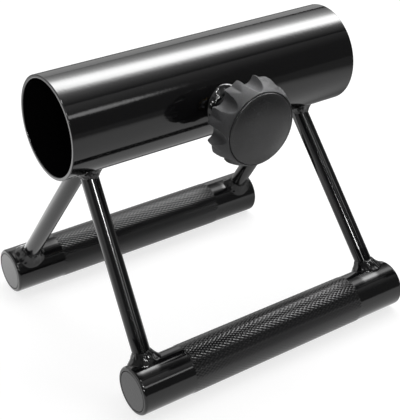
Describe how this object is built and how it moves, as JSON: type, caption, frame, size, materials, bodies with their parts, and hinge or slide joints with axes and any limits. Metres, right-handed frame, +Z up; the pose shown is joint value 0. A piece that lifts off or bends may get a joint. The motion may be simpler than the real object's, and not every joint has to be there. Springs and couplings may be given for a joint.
{
  "type": "barbell sleeve row handle",
  "caption": "Double knurled grip row handle on crossed struts under a sleeve tube, clamped on a barbell's loading sleeve by a fluted screw knob.",
  "frame": {"origin": "bottom centre of the whole part, on the surface that its two grips stand on", "axes": "+X along the sleeve tube and the grips, -Y towards the clamp knob, +Z up from the grips to the sleeve tube"},
  "size_m": [0.186, 0.172, 0.1685],
  "materials": {
    "gloss_black_paint": "gloss black paint on steel",
    "plug_face": "dull dark grey, flush with the tube's end",
    "knob_plastic": "finely textured charcoal plastic",
    "cap_plastic": "finely textured charcoal plastic, a little smoother",
    "zinc_steel": "zinc plated thread",
    "brass": "turned brass"
  },
  "bodies": {
    "frame": {"sleeve_tube": "gloss_black_paint", "grip_front": "gloss_black_paint", "grip_rear": "gloss_black_paint", "grip_plug_front_left": "plug_face", "grip_plug_front_right": "plug_face", "grip_plug_rear_left": "plug_face", "grip_plug_rear_right": "plug_face", "strut_front_left": "gloss_black_paint", "strut_front_right": "gloss_black_paint", "strut_rear_left": "gloss_black_paint", "strut_rear_right": "gloss_black_paint", "grip_weld_front_left": "gloss_black_paint", "grip_weld_front_right": "gloss_black_paint", "grip_weld_rear_left": "gloss_black_paint", "grip_weld_rear_right": "gloss_black_paint", "sleeve_weld_front_left": "gloss_black_paint", "sleeve_weld_front_right": "gloss_black_paint", "sleeve_weld_rear_left": "gloss_black_paint", "sleeve_weld_rear_right": "gloss_black_paint", "nut_weld": "gloss_black_paint", "clamp_nut": "gloss_black_paint"},
    "stud": {"clamp_stud": "zinc_steel"},
    "knob": {"knob_body": "knob_plastic", "knob_cap": "cap_plastic", "knob_insert": "brass"}
  },
  "joints": [
    {"name": "clamp_travel", "type": "slide", "parent": "frame", "child": "stud", "axis": [0, -0.9986, -0.0523], "range_m": [-0.007, 0.005]},
    {"name": "knob_turn", "type": "hinge", "parent": "stud", "child": "knob", "pos_m": [0.0008, -0.05193, 0.13728], "axis": [0, -0.9986, -0.0523], "range_deg": [-1680, 1200]}
  ],
  "couplings": [
    {"joint": "clamp_travel", "follows": "knob_turn", "m_per_rad": 0.00023873}
  ]
}
